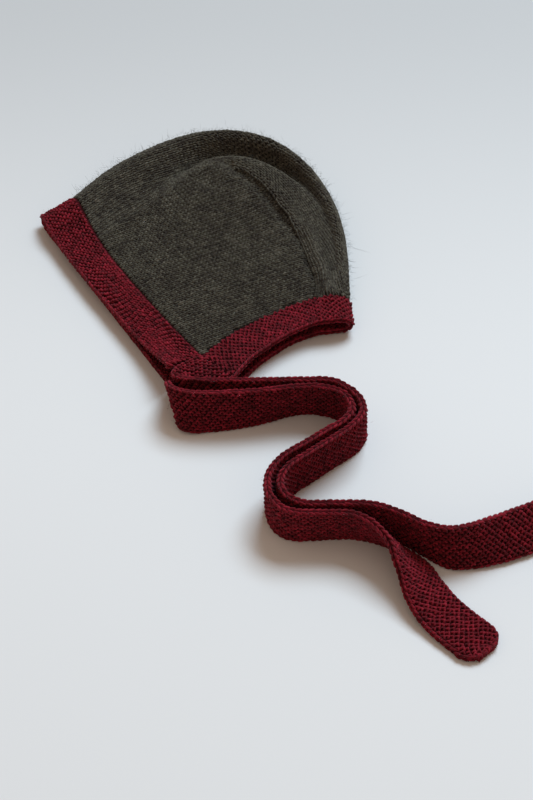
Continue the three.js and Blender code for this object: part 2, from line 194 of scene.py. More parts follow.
# ---------------------------------------------------------------- knitting
WALE_PITCH = 2.8
ROW_PITCH = 2.15
GARTER_PITCH = 3.0
GARTER_ROW = 1.75
CHAIN_PITCH = 3.1
CHAIN_INSET = 0.8
CHAIN_WIDTH = 1.3
CHAIN_HEIGHT = 1.35
EDGE_MARGIN = 0.045
CROWN_CLOTH = 1.3
BAND_CLOTH = 1.5

# The lowest that the yarn and the cloth under it reach above the surface they lie on.
YARN_LOWEST = 0.02
CLOTH_LOWEST = 0.3

# Loose fibres: how many, on each garter bump or on a whole piece, how far they reach and how
# thick they are.
GARTER_FUZZ = 0.7
BAND_FUZZ_REACH = 1.1
BAND_FUZZ_THICKNESS = 0.04
CROWN_FUZZ = {"crown_strip_stitches": 16000, "crown_side_stitches": 7000}
CROWN_FUZZ_REACH = 1.7
CROWN_FUZZ_THICKNESS = 0.05
FUZZ_SEED = 20

# The strip of stitches over the top and down the back: half its width in stitches, the section
# from which its upper side is a decrease line, and how far its middle lies from the fold at each
# section, towards the upper layer.
STRIP_WALES = 16
STRIP_HALF = STRIP_WALES * WALE_PITCH
STRIP_ROW_PITCH = ROW_PITCH * 1.12
DECREASE_FROM = 3.7
STRIP_DRIFT = [0, 5, 7, 6, 17, 30, 28, 23, 9, -6, -17]

# ---------------------------------------------------------------- surfaces
SECTION_COLUMNS = ("hem", "fold", "bow", "mid", "shelf", "dip", "ridge")
ROWS_PER_SECTION = 12
PER_SPAN = 8
FOLD_STATION = 5
FOLD_COLUMN = FOLD_STATION * PER_SPAN
BAND_LINES = 8
TIE_STEPS = 8
TIP_STEPS = 14
TIE_LINES = 8


def columns_of(rows, *names):
    """The named columns of a table, side by side, as an array with a line for each row."""
    return np.array([np.hstack([np.atleast_1d(row[n]) for n in names]) for row in rows], float)


def through(values, position):
    """Catmull-Rom through the lines of an array, at fractional lines."""
    values = np.asarray(values, float)
    ends = 2 * values[0] - values[1], 2 * values[-1] - values[-2]
    padded = np.vstack([ends[0], values, ends[1]])
    position = np.atleast_1d(np.asarray(position, float))
    i = np.clip(np.floor(position).astype(int), 0, len(values) - 2)
    f = (position - i)[:, None]
    weights = (
        -0.5 * f + f**2 - 0.5 * f**3,
        1 - 2.5 * f**2 + 1.5 * f**3,
        0.5 * f + 2 * f**2 - 1.5 * f**3,
        -0.5 * f**2 + 0.5 * f**3,
    )
    return sum(w * padded[i + k] for k, w in enumerate(weights))


def centripetal(stations, per_span):
    """A centripetal Catmull-Rom curve through (lines, stations, coordinates)."""
    first = 2 * stations[:, :1] - stations[:, 1:2]
    last = 2 * stations[:, -1:] - stations[:, -2:-1]
    p = np.concatenate([first, stations, last], axis=1)
    knots = np.sqrt(np.linalg.norm(np.diff(p, axis=1), axis=2))[..., None]
    t = (np.arange(per_span) / per_span)[None, :, None]
    spans = []
    for i in range(stations.shape[1] - 1):
        a, b, c, d = (p[:, i + k] for k in range(4))
        k0, k1, k2 = (knots[:, i + k] for k in range(3))
        out = ((b - a) / k0 - (c - a) / (k0 + k1) + (c - b) / k1) * k1
        into = ((c - b) / k1 - (d - b) / (k1 + k2) + (d - c) / k2) * k1
        b, c, out, into = (v[:, None, :] for v in (b, c, out, into))
        cubic = b + t * out + t**2 * (3 * (c - b) - 2 * out - into) + t**3 * (2 * (b - c) + out + into)
        spans.append(cubic)
    return np.concatenate([*spans, stations[:, -1:]], axis=1)


def unit(v):
    """Vectors of length 1."""
    return v / np.maximum(np.linalg.norm(v, axis=-1, keepdims=True), 1e-9)


def halfway_bump(f):
    """A curve that is 0 where f is 0 or 1, with its peak of 1 at a half."""
    return 4 * f * (1 - f)


def third_way_bump(f):
    """A curve that is 0 where f is 0 or 1, with its peak of 1 at a third."""
    return 27 / 4 * f * (1 - f) ** 2


def profiles(sections, wall, per_span, lap=0):
    """The middle of the wall along sections, upper hem to lower hem: (sections, points, 3).

    lap is how far the upper layer reaches past the lower one, most at a third from the fold.
    """
    hem, fold, bow, mid, shelf, dip, ridge = np.split(sections, [3, 6, 7, 9, 11, 13], axis=1)
    floor = np.full(len(sections), wall / 2)
    span = hem[:, :2] - fold[:, :2]
    along = np.linalg.norm(span, axis=1)
    faceward = np.stack([span[:, 1], -span[:, 0]], axis=1) / along[:, None]
    stations = np.stack([
        np.stack([along, hem[:, 2]], axis=1),
        np.stack([along * mid[:, 0], mid[:, 1]], axis=1),
        shelf,
        dip,
        ridge,
        np.stack([0 * along, fold[:, 2]], axis=1),
        np.stack([ridge[:, 0] * UNDER_ROLL, floor], axis=1),
        np.stack([dip[:, 0] * UNDER_DIP, floor], axis=1),
        np.stack([along * UNDER_MIDDLE, floor], axis=1),
        np.stack([along, floor], axis=1),
    ], axis=1)
    curve = centripetal(stations, per_span)
    f = (curve[..., 0] / along[:, None])[..., None]
    plan = fold[:, None, :2] * (1 - f) + hem[:, None, :2] * f
    upper = (np.arange(curve.shape[1]) < FOLD_COLUMN)[None, :, None]
    reach = bow[:, None] * halfway_bump(f) + lap * upper * third_way_bump(f)
    plan = plan + faceward[:, None] * reach
    return np.concatenate([plan, np.maximum(curve[..., 1:], wall / 2)], axis=2)


def grid_normals(grid):
    """Unit normals of a grid, each point's the mean of the cells round it."""
    diagonal = grid[1:, 1:] - grid[:-1, :-1]
    other = grid[:-1, 1:] - grid[1:, :-1]
    cell = np.cross(diagonal, other)
    normals = np.zeros_like(grid)
    for i in (0, 1):
        for j in (0, 1):
            rows = slice(i, i + cell.shape[0])
            cols = slice(j, j + cell.shape[1])
            normals[rows, cols] += cell
    return unit(normals)


def crown_grid():
    """The crown's middle surface, with its dents and its line of decreases: (along, round, 3)."""
    rows = np.linspace(0, len(CROWN_SECTIONS) - 1, ROWS_PER_SECTION * (len(CROWN_SECTIONS) - 1) + 1)
    sections = through(columns_of(CROWN_SECTIONS, *SECTION_COLUMNS), rows)
    grid = profiles(sections, CROWN_WALL, PER_SPAN)
    upper = grid[:, : FOLD_COLUMN + 1]
    for dent in DENTS:
        away = upper[..., :2] - dent["at"]
        share = np.exp(-np.sum(away**2, axis=2) / (2 * dent["radius"] ** 2))
        upper[..., 2] -= dent["depth"] * share * np.clip((upper[..., 2] - 6) / 4, 0, 1)
    line = through(DECREASE_LINE, np.linspace(0, len(DECREASE_LINE) - 1, DECREASE_STEPS))
    along = unit(np.gradient(line, axis=0))
    apart = upper[..., None, :2] - line
    near = np.linalg.norm(apart, axis=3).argmin(axis=2)
    apart = np.take_along_axis(apart, near[..., None, None], axis=2)[..., 0, :]
    behind = np.abs(np.sum(apart * along[near], axis=2))
    away = apart[..., 1] * along[near][..., 0] - apart[..., 0] * along[near][..., 1]
    for fold in (GROOVE, RIDGE):
        share = np.exp(-((away - fold["away"]) ** 2) / (2 * fold["radius"] ** 2) - behind**2 / 8)
        upper[..., 2] += fold["height"] * share
    return grid


def band_between(rim, rim_normals, open_edge):
    """Lines from just off the crown's rim to the band's open edge: (across, along, 3)."""
    along = unit(np.vstack([rim[1:2] - rim[:1], rim[2:] - rim[:-2], rim[-1:] - rim[-2:-1]]))
    out = unit(np.cross(along, rim_normals))
    away = np.sum(out * (open_edge - rim), axis=1, keepdims=True)
    seam = rim + out * np.where(away < 0, -1, 1) * SEAM_GAP
    seam[:, 2] = np.maximum(seam[:, 2], BAND_WALL / 2)
    f = np.linspace(0, 1, BAND_LINES + 1)[:, None, None]
    return seam[None] * (1 - f) + open_edge[None] * f


def face_band_grid(crown):
    """The face band's middle surface: (across, along, 3)."""
    edge = profiles(columns_of([FACE_EDGE], *SECTION_COLUMNS), BAND_WALL, PER_SPAN, FACE_LAP)[0]
    return band_between(crown[0], grid_normals(crown)[0], edge)


def neck_band_grid(crown):
    """The neck band's middle surface, round the nape: (across, along, 3)."""
    normals = grid_normals(crown)
    around = lambda g: np.vstack([g[:, 0], g[-1, 1:-1], g[::-1, -1]])
    sections = len(CROWN_SECTIONS) - 1
    rows, nape = len(crown) - 1, crown.shape[1] - 1
    place = np.concatenate([
        np.linspace(0, sections, rows + 1),
        sections + NAPE_SPAN * np.arange(1, nape) / nape,
        sections + NAPE_SPAN + np.linspace(0, sections, rows + 1),
    ])
    at = np.array([row["at"] for row in NECK_EDGE], float)
    rank = np.interp(place, at, np.arange(len(at)))
    open_edge = through(columns_of(NECK_EDGE, "edge"), rank)
    return band_between(around(crown), around(normals), open_edge)


def tie_grid(bends, seam, edge):
    """A tie as lines along the strip, top edge first: (across, along, 3)."""
    tops = columns_of(bends, "top")
    bottoms = columns_of(bends, "bottom")
    away = unit(tops[0] + bottoms[0] - seam - edge)
    across = unit(edge - seam)
    away = unit(away - across * away.dot(across))
    tops = np.vstack([seam + away * TIE_GAP, tops])
    bottoms = np.vstack([edge + away * TIE_GAP, bottoms])
    last = len(tops) - 1
    tip = last - (1 - np.linspace(0, 1, TIP_STEPS + 1)) ** 2
    places = np.concatenate([np.arange(0, last - 1, 1 / TIE_STEPS), tip])
    top = through(tops, places)
    bottom = through(bottoms, places)
    centre = (top + bottom) / 2
    up = unit(top - bottom)
    inside = np.maximum(TIE_CORNER_RADIUS - np.linalg.norm(centre - centre[-1], axis=1), 0)
    half = TIE_WIDTH / 2 - TIE_CORNER_RADIUS + np.sqrt(TIE_CORNER_RADIUS**2 - inside**2)
    f = np.linspace(1, -1, TIE_LINES + 1)[:, None, None]
    grid = centre[None] + f * (up * half[:, None])[None]
    normals = grid_normals(grid)
    low = (grid[..., 2] - np.abs(normals[..., 2]) * BAND_WALL / 2).min(axis=0)
    grid[..., 2] -= np.minimum(low, 0)[None]
    return grid


# ---------------------------------------------------------------- meshes
def to_row(points):
    """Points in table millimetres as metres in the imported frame."""
    return (np.asarray(points, float) + shift) * MM


def new_piece(name, points, faces, material, tone=None):
    """A smooth mesh piece from points in table millimetres and an array of faces."""
    mesh = bpy.data.meshes.new(name)
    faces = np.asarray(faces, np.int32)
    sides = faces.shape[1]
    mesh.vertices.add(len(points))
    mesh.vertices.foreach_set("co", to_row(points).astype(np.float32).ravel())
    mesh.loops.add(faces.size)
    mesh.loops.foreach_set("vertex_index", faces.ravel())
    mesh.polygons.add(len(faces))
    mesh.polygons.foreach_set("loop_start", np.arange(0, faces.size, sides, dtype=np.int32))
    mesh.polygons.foreach_set("use_smooth", np.ones(len(faces), bool))
    if tone is not None:
        attribute = mesh.attributes.new("tone", "FLOAT", "POINT")
        attribute.data.foreach_set("value", np.asarray(tone, np.float32))
    mesh.update(calc_edges=True)
    mesh.validate()
    mesh.materials.append(material)
    piece = bpy.data.objects.new(name, mesh)
    bpy.context.scene.collection.objects.link(piece)
    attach(piece, "root")
    return piece


def wall(grid, thickness):
    """A closed wall round a grid of points: its points and its faces."""
    rows, cols = grid.shape[:2]
    normals = grid_normals(grid)
    sides = [grid + normals * side * thickness for side in (0.5, -0.5)]
    points = np.concatenate([s.reshape(-1, 3) for s in sides])
    index = np.arange(rows * cols).reshape(rows, cols)
    under = index + rows * cols

    def quads(a, b, c, d):
        return np.stack([v.ravel() for v in (a, b, c, d)], axis=1)

    faces = np.concatenate([
        quads(index[:-1, :-1], index[1:, :-1], index[1:, 1:], index[:-1, 1:]),
        quads(under[:-1, :-1], under[:-1, 1:], under[1:, 1:], under[1:, :-1]),
        quads(index[:-1, 0], under[:-1, 0], under[1:, 0], index[1:, 0]),
        quads(index[:-1, -1], index[1:, -1], under[1:, -1], under[:-1, -1]),
        quads(index[0, :-1], index[0, 1:], under[0, 1:], under[0, :-1]),
        quads(index[-1, :-1], under[-1, :-1], under[-1, 1:], index[-1, 1:]),
    ])
    return points, faces


def strand(path, radii, sides):
    """A closed strand along a path, tapering to a point at each end: points and triangles."""
    path = np.asarray(path, float)
    tangents = unit(np.gradient(path, axis=0))
    reference = np.array([0, 0, 1.0])
    side = unit(np.cross(tangents, reference))
    up = np.cross(side, tangents)
    turn = np.arange(sides) * 2 * math.pi / sides
    rings = [
        p + r * (np.cos(turn)[:, None] * s + np.sin(turn)[:, None] * u)
        for p, r, s, u in zip(path[1:-1], radii, side[1:-1], up[1:-1])
    ]
    points = np.vstack([path[:1], *rings, path[-1:]])
    first, last = 0, len(points) - 1
    triangles = []
    for k in range(sides):
        n = (k + 1) % sides
        triangles.append((first, 1 + k, 1 + n))
        end = 1 + (len(rings) - 1) * sides
        triangles.append((last, end + n, end + k))
        for ring in range(len(rings) - 1):
            a, b = 1 + ring * sides, 1 + (ring + 1) * sides
            triangles.append((a + k, b + n, a + n))
            triangles.append((a + k, b + k, b + n))
    return points, np.array(triangles)


def joined(parts):
    """Several (points, faces) as one."""
    points, faces, count = [], [], 0
    for p, f in parts:
        points.append(p)
        faces.append(np.asarray(f) + count)
        count += len(p)
    return np.vstack(points), np.vstack(faces)


def scatter(template, origins, across, along, up, rng):
    """Copies of a template, whose axes are across, along and up, as one (points, faces, tone)."""
    points, faces = template
    axes = np.stack([across, along, up], axis=1)
    placed = origins[:, None] + np.einsum("pk,nkc->npc", points, axes)
    offsets = np.arange(len(origins))[:, None, None] * len(points)
    tone = np.repeat(rng.random(len(origins)), len(points))
    return placed.reshape(-1, 3), (faces[None] + offsets).reshape(-1, faces.shape[1]), tone


def knit_stitch():
    """One V of stocking stitch, in units of the wale and row pitch, and mm of height."""
    legs = []
    for side in (-1, 1):
        leg = [
            (0.05, -0.85, -0.3),
            (0.12, -0.5, 0.26),
            (0.25, 0.0, 0.42),
            (0.35, 0.45, 0.34),
            (0.4, 0.85, -0.2),
        ]
        path = [(side * WALE_PITCH * x, ROW_PITCH * y, z) for x, y, z in leg]
        points, faces = strand(path, (0.5, 0.62, 0.54), 4)
        legs.append((points, faces))
    return joined(legs)


def garter_bump():
    """One bump of garter stitch: an arch of yarn whose ends go down between its neighbours."""
    arch = [
        (-0.36, -0.78, -0.7),
        (-0.28, -0.1, 0.2),
        (0, 0.38, 0.55),
        (0.28, -0.1, 0.2),
        (0.36, -0.78, -0.7),
    ]
    path = [(GARTER_PITCH * x, GARTER_ROW * y, z) for x, y, z in arch]
    return strand(path, (0.64, 0.8, 0.64), 5)


# ---------------------------------------------------------------- surfaces to knit on
class Cloth:
    """A grid of points that can be looked up at fractional lines and columns."""

    def __init__(self, grid):
        self.grid = grid
        self.normals = grid_normals(grid)

    def at(self, i, j):
        """Points and normals at fractional (line, column)."""
        rows, cols = self.grid.shape[:2]
        i = np.clip(i, 0, rows - 1.0001)
        j = np.clip(j, 0, cols - 1.0001)
        a, b = i.astype(int), j.astype(int)
        f, g = (i - a)[..., None], (j - b)[..., None]
        both = []
        for values in (self.grid, self.normals):
            low = values[a, b] * (1 - g) + values[a, b + 1] * g
            high = values[a + 1, b] * (1 - g) + values[a + 1, b + 1] * g
            both.append(low * (1 - f) + high * f)
        return both[0], unit(both[1])


def lengths(line):
    """Distance along a line of points, from its start."""
    return np.concatenate([[0], np.cumsum(np.linalg.norm(np.diff(line, axis=0), axis=1))])


def garter_rows(cloth, side, rng, rows):
    """Origins and axes of garter bumps over one side of a (across, along) grid."""
    lines = cloth.grid.shape[0] - 1
    middle = cloth.grid[lines // 2]
    length = lengths(middle)
    count = int(length[-1] / GARTER_PITCH)
    made = []
    for r in range(rows):
        i = np.full(count, lines * (EDGE_MARGIN + (1 - 2 * EDGE_MARGIN) * (r + 0.5) / rows))
        shift_along = 0.25 if r % 2 else 0.75
        at = (np.arange(count) + shift_along) * length[-1] / count
        j = np.interp(at, length, np.arange(len(length)))
        p, n = cloth.at(i, j)
        ahead, _ = cloth.at(i, j + 0.5)
        behind, _ = cloth.at(i, j - 0.5)
        along = unit(ahead - behind)
        up = n * side
        across = unit(np.cross(up, along))
        slant = rng.normal(0, 0.16, count)[:, None]
        along, across = unit(along + across * slant), unit(across - along * slant)
        size = 1 + rng.normal(0, 0.08, count)[:, None]
        p = p + up * (BAND_CLOTH / 2 + 0.1) + rng.normal(0, 0.14, p.shape)
        made.append((p, along * size, across * size, up * size))
    return made


def garter(name, grid, material, rows, seed):
    """Garter stitch over both sides of a band or tie, as one piece, with its loose fibres."""
    rng = np.random.default_rng(SEED + seed)
    cloth = Cloth(grid)
    template = garter_bump()
    parts, tones, roots = [], [], []
    for side in (1, -1):
        for p, along, across, up in garter_rows(cloth, side, rng, rows):
            points, faces, tone = scatter(template, p, along, across, up, rng)
            parts.append((points, faces))
            tones.append(tone)
            roots.append(np.hstack([p + up, up]))
    roots = np.vstack(roots)
    count = int(len(roots) * GARTER_FUZZ)
    fuzz_name = name.replace("stitches", "fuzz")
    reach, thickness = BAND_FUZZ_REACH, BAND_FUZZ_THICKNESS
    fuzz(fuzz_name, roots[:, :3], roots[:, 3:], count, reach, thickness, material, seed)
    points, faces = joined(parts)
    points[:, 2] = np.maximum(points[:, 2], YARN_LOWEST)
    return new_piece(name, points, faces, material, np.concatenate(tones))


def outline(path, normals, inside):
    """Axes along an edge: its points, set in a little, with the tangent and the way out."""
    along = unit(np.vstack([path[1:2] - path[:1], path[2:] - path[:-2], path[-1:] - path[-2:-1]]))
    out = unit(np.cross(along, normals))
    away = np.sum(out * (path - inside), axis=1, keepdims=True)
    out = out * np.where(away < 0, -1, 1)
    return path - out * CHAIN_INSET, along, out


def chain(name, path, normals, inside, material, seed):
    """The chain of stitches along an open edge."""
    rng = np.random.default_rng(SEED + seed)
    points, along, out = outline(path, normals, inside)
    length = lengths(points)
    count = int(length[-1] / CHAIN_PITCH)
    at = (np.arange(count) + 0.5) * length[-1] / count

    def spaced(values):
        return np.stack([np.interp(at, length, values[:, k]) for k in range(3)], axis=1)

    up, forward = unit(spaced(out)), unit(spaced(along))
    across = unit(np.cross(forward, up))
    p = spaced(points) + rng.normal(0, 0.08, (count, 3))
    stretch = CHAIN_PITCH / ROW_PITCH
    axes = across * CHAIN_WIDTH, forward * stretch, up * CHAIN_HEIGHT
    points, faces, tone = scatter(knit_stitch(), p, *axes, rng)
    points[:, 2] = np.maximum(points[:, 2], YARN_LOWEST)
    return new_piece(name, points, faces, material, tone)


def three_sides(grid):
    """The open edge of a band with both its ends, with normals and inner points."""
    normals = grid_normals(grid)
    around = lambda g: np.vstack([g[:-1, 0], g[-1], g[-2::-1, -1]])
    inner = grid.copy()
    inner[-1] = grid[-2]
    inner[:, 0], inner[:, -1] = grid[:, 1], grid[:, -2]
    return around(grid), around(normals), around(inner)


def tie_edge(grid):
    """The edge of a tie, along the top, round the tip and back, with normals and inner points."""
    normals = grid_normals(grid)
    around = lambda g: np.vstack([g[0, :-1], g[:, -1], g[-1, -2::-1]])
    middle = np.repeat(grid[None, TIE_LINES // 2], len(grid), axis=0)
    middle[:, -1] = middle[:, -2]
    return around(grid), around(normals), around(middle)


# ---------------------------------------------------------------- materials
def wool(name, colours, sheen, sheen_tint, gloss, contrast, fleck_scale):
    """Yarn: four colours from dark to light, flecked, with a tone for each stitch and fine fibres."""
    material = bpy.data.materials.new(name)
    material.use_nodes = True
    nodes, links = material.node_tree.nodes, material.node_tree.links
    nodes.clear()
    output = nodes.new("ShaderNodeOutputMaterial")
    shader = nodes.new("ShaderNodeBsdfPrincipled")
    shader.inputs["Roughness"].default_value = 0.95
    shader.inputs["Specular IOR Level"].default_value = gloss
    shader.inputs["Sheen Weight"].default_value = sheen
    shader.inputs["Sheen Roughness"].default_value = 0.4
    shader.inputs["Sheen Tint"].default_value = (*sheen_tint, 1)
    links.new(shader.outputs["BSDF"], output.inputs["Surface"])
    place = nodes.new("ShaderNodeTexCoord")

    def noise(scale, detail, distortion=0.0):
        node = nodes.new("ShaderNodeTexNoise")
        node.inputs["Scale"].default_value = scale
        node.inputs["Detail"].default_value = detail
        node.inputs["Distortion"].default_value = distortion
        links.new(place.outputs["Object"], node.inputs["Vector"])
        return node.outputs["Fac"]

    def blend(operation, a, b):
        node = nodes.new("ShaderNodeMath")
        node.operation = operation
        for socket, value in zip(node.inputs, (a, b)):
            if isinstance(value, (int, float)):
                socket.default_value = value
            else:
                links.new(value, socket)
        return node.outputs[0]

    tone = nodes.new("ShaderNodeAttribute")
    tone.attribute_name = "tone"
    flecks = blend("ADD", noise(fleck_scale, 4), blend("MULTIPLY", noise(110, 2), 0.35))
    mixed = blend("ADD", blend("MULTIPLY", tone.outputs["Fac"], contrast), flecks)
    mixed = blend("SUBTRACT", mixed, 0.175 + contrast / 2)
    ramp = nodes.new("ShaderNodeValToRGB")
    for element, position in zip(ramp.color_ramp.elements, (0.30, 0.72)):
        element.position = position
    for position in (0.44, 0.56):
        ramp.color_ramp.elements.new(position)
    for element, colour in zip(ramp.color_ramp.elements, colours):
        element.color = (*colour, 1)
    links.new(mixed, ramp.inputs["Fac"])
    links.new(ramp.outputs["Color"], shader.inputs["Base Color"])

    bump = nodes.new("ShaderNodeBump")
    bump.inputs["Strength"].default_value = 0.5
    bump.inputs["Distance"].default_value = 0.0003
    links.new(noise(2600, 4, 0.6), bump.inputs["Height"])
    links.new(bump.outputs["Normal"], shader.inputs["Normal"])
    return material


def linear(r, g, b):
    """A colour given as 0 to 255 on screen, in the shader's own scale."""
    return tuple(((c / 255 + 0.055) / 1.055) ** 2.4 if c > 10 else c / 255 / 12.92 for c in (r, g, b))


# Each yarn's four colours, from dark to light.
OLIVE = [linear(45, 41, 36), linear(68, 62, 55), linear(78, 75, 64), linear(104, 98, 87)]
BURGUNDY = [linear(74, 9, 17), linear(101, 14, 26), linear(118, 17, 31), linear(146, 30, 46)]
# Painted shade: the share of its yarn's colours that the cloth under the stitches is given.
GROUND_SHADE = 0.3


def with_painted_shade(colours):
    """Painted shade: the colours of the cloth under the stitches, darkened because little light reaches it.
    """
    return [[c * GROUND_SHADE for c in colour] for colour in colours]


olive = wool("olive_wool", OLIVE, 0.22, linear(190, 184, 172), 0.15, 0.16, 620)
burgundy = wool("burgundy_wool", BURGUNDY, 0.2, linear(222, 150, 166), 0.22, 0.16, 500)
# The cloth under the stitches, with painted shade: its yarn's colours darkened.
olive_ground_shaded = wool("olive_ground_shaded", with_painted_shade(OLIVE), 0, (1, 1, 1), 0.1, 0, 620)
burgundy_ground_shaded = wool("burgundy_ground_shaded", with_painted_shade(BURGUNDY), 0, (1, 1, 1), 0.1, 0, 500)


def fuzz(name, origins, normals, count, reach, thickness, material, seed):
    """Loose fibres that stand out of the knitting: slim bent spikes from random stitches."""
    rng = np.random.default_rng(SEED + seed)
    pick = rng.integers(0, len(origins), count)
    root, normal = origins[pick] + rng.normal(0, 0.7, (count, 3)), normals[pick]
    aim = unit(normal * rng.uniform(0.1, 1.0, (count, 1)) + rng.normal(0, 0.6, (count, 3)))
    length = rng.gamma(2.0, reach / 2.0, (count, 1))
    curl = rng.normal(0, 0.3, (count, 3)) * length
    knee = root + aim * length * 0.5 + curl * 0.5
    tip = root + aim * length + curl * 1.4
    side = unit(np.cross(aim, rng.normal(0, 1, (count, 3))))
    up = np.cross(side, aim)
    turn = np.arange(3) * 2 * math.pi / 3
    ring = [(side * math.cos(t) + up * math.sin(t)) * thickness for t in turn]
    points = np.stack([root, *(knee + r for r in ring), tip], axis=1)
    faces = [f for k in (1, 2, 3) for f in ((0, k, k % 3 + 1), (k % 3 + 1, k, 4))]
    faces = (np.array(faces)[None] + np.arange(count)[:, None, None] * 5).reshape(-1, 3)
    points = points.reshape(-1, 3)
    points[:, 2] = np.maximum(points[:, 2], YARN_LOWEST)
    tone = np.repeat(rng.random(count), 5)
    return new_piece(name, points, faces, material, tone)


# ---------------------------------------------------------------- the bonnet
crown = crown_grid()
face = face_band_grid(crown)
neck = neck_band_grid(crown)
left = tie_grid(LEFT_TIE, neck[0, 0], neck[-1, 0])
right = tie_grid(RIGHT_TIE, neck[0, -1], neck[-1, -1])

# The tables' origin is the front corner of the bonnet. The back and right-hand limits of the
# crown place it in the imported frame.
outer_crown = wall(crown, CROWN_WALL)[0]
crown_high = np.array(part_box("crown")[1]) / MM
shift = np.array([*(crown_high - outer_crown.max(axis=0))[:2], 0])


def base(name, grid, thickness, material, node):
    """The cloth under the stitches of a sub-part, in place of the sub-part's plain solid."""
    points, faces = wall(grid, thickness)
    points[:, 2] = np.maximum(points[:, 2], CLOTH_LOWEST)
    piece = new_piece(name, points, faces, material)
    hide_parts(node)
    return piece


# The under-cloth of each sub-part wears one of the materials with painted shade.
bases = {
    "crown": base("crown_cloth", crown, CROWN_CLOTH, olive_ground_shaded, "crown"),
    "face": base("face_band_cloth", face, BAND_CLOTH, burgundy_ground_shaded, "face_band"),
    "neck": base("neck_band_cloth", neck, BAND_CLOTH, burgundy_ground_shaded, "neck_band"),
    "left": base("tie_left_cloth", left, BAND_CLOTH, burgundy_ground_shaded, "tie_left"),
    "right": base("tie_right_cloth", right, BAND_CLOTH, burgundy_ground_shaded, "tie_right"),
}

garter("face_band_stitches", face, burgundy, 13, 1)
garter("neck_band_stitches", neck, burgundy, 11, 2)
garter("tie_left_stitches", left, burgundy, 13, 3)
garter("tie_right_stitches", right, burgundy, 13, 4)

chain("face_band_edge", *three_sides(face), burgundy, 5)
chain("neck_band_edge", neck[-1], grid_normals(neck)[-1], neck[-2], burgundy, 6)
chain("tie_left_edge", *tie_edge(left), burgundy, 7)
chain("tie_right_edge", *tie_edge(right), burgundy, 8)


# ---------------------------------------------------------------- crown stitches
# Along the decrease line the strip's last stitches stand up, and the side panel keeps clear of
# them and starts a little lower.
DECREASE_LIFT = 0.8
PLAIN_CLEARANCE = 0.6
SHAPED_CLEARANCE = 1.6
SEAM_SINK = 0.5
SINK_WIDTH = 4

# The side panel's lattice: wales before the front corner and past the fold, rows from the face
# seam, and a height above the whole crown to cast from.
WALES_BEFORE = 24
WALES_PAST = 10
PANEL_ROWS = 90
ABOVE = 60


def strip_stitches(rng):
    """Stitches of the strip over the top and down the back, which follow the fold."""
    cloth = Cloth(crown)
    rows, cols = crown.shape[:2]
    fold_line = lengths(crown[:, FOLD_COLUMN])
    count = int(fold_line[-1] / STRIP_ROW_PITCH)
    i = np.interp((np.arange(count) + 0.5) * fold_line[-1] / count, fold_line, np.arange(rows))
    drift = np.interp(i / ROWS_PER_SECTION, np.arange(len(STRIP_DRIFT)), STRIP_DRIFT)
    offsets = (np.arange(-STRIP_WALES, STRIP_WALES) + 0.5) * WALE_PITCH
    j = np.zeros((count, len(offsets)))
    for n, row in enumerate(i):
        low = int(min(row, rows - 2))
        line = crown[low] * (1 - row + low) + crown[low + 1] * (row - low)
        from_fold = lengths(line)
        from_fold = from_fold[FOLD_COLUMN] - from_fold
        j[n] = np.interp(-(offsets + drift[n]), -from_fold, np.arange(cols))
    p, across, along, up = lay_on(cloth, np.repeat(i[:, None], len(offsets), 1), j)
    lift = np.zeros((count, len(offsets)))
    lift[i > DECREASE_FROM * ROWS_PER_SECTION, -1] = DECREASE_LIFT
    return p + up * lift.reshape(-1, 1), across, along, up


def lay_on(cloth, i, j):
    """Origins and axes of stitches at a (row, wale) lattice of fractional places."""
    p, n = cloth.at(i, j)
    along = unit(np.gradient(p, axis=0))
    across = unit(np.cross(along, n))
    flat = lambda v: v.reshape(-1, 3)
    return flat(p), flat(across), flat(along), flat(n)


def upper_tree():
    """The crown's upper layer, to cast rays at, and its cells from the hem to the fold."""
    part = crown[:, : FOLD_COLUMN + 1]
    rows, cols = part.shape[:2]
    index = np.arange(rows * cols).reshape(rows, cols)
    quads = np.stack([v.ravel() for v in (index[:-1, :-1], index[1:, :-1], index[1:, 1:], index[:-1, 1:])], 1)
    return BVHTree.FromPolygons([tuple(p) for p in part.reshape(-1, 3)], quads.tolist()), cols - 1


def panel_stitches():
    """Stitches of the side panel: wales square to the face seam, up to the decrease line."""
    tree, cells = upper_tree()
    corner, top = crown[0, 0, :2], crown[0, FOLD_COLUMN, :2]
    up_seam = unit(top - corner)
    back = np.array([up_seam[1], -up_seam[0]])
    seam = crown[0, : FOLD_COLUMN + 1, :2] - corner
    order = np.argsort(seam @ up_seam)
    placed = []
    wales = int(np.linalg.norm(top - corner) / WALE_PITCH) + WALES_PAST
    for k in range(-WALES_BEFORE, wales):
        q = (k + 0.5) * WALE_PITCH
        start = np.interp(q, (seam @ up_seam)[order], (seam @ back)[order])
        for r in range(PANEL_ROWS):
            plan = corner + up_seam * q + back * (start + (r + 0.5) * ROW_PITCH)
            hit, normal, face_index, _ = tree.ray_cast(Vector((*plan, ABOVE)), Vector((0, 0, -1)))
            if hit is None:
                continue
            row, col = divmod(face_index, cells)
            line = crown[row]
            from_fold = lengths(line)
            inward = from_fold[FOLD_COLUMN] - from_fold[col]
            drift = np.interp(row / ROWS_PER_SECTION, np.arange(len(STRIP_DRIFT)), STRIP_DRIFT)
            shaped = row / ROWS_PER_SECTION > DECREASE_FROM
            past = inward - STRIP_HALF - drift
            if past < (SHAPED_CLEARANCE if shaped else PLAIN_CLEARANCE):
                continue
            sink = SEAM_SINK if shaped and past < SINK_WIDTH else 0
            placed.append((tuple(hit - normal * sink), tuple(normal)))
    p = np.array([a for a, _ in placed])
    n = np.array([b for _, b in placed])
    n = n * np.sign(n[:, 2:])
    along = unit(np.array([*back, 0]) - n * (n @ np.array([*back, 0]))[:, None])
    across = unit(np.cross(along, n))
    return p, across, along, n


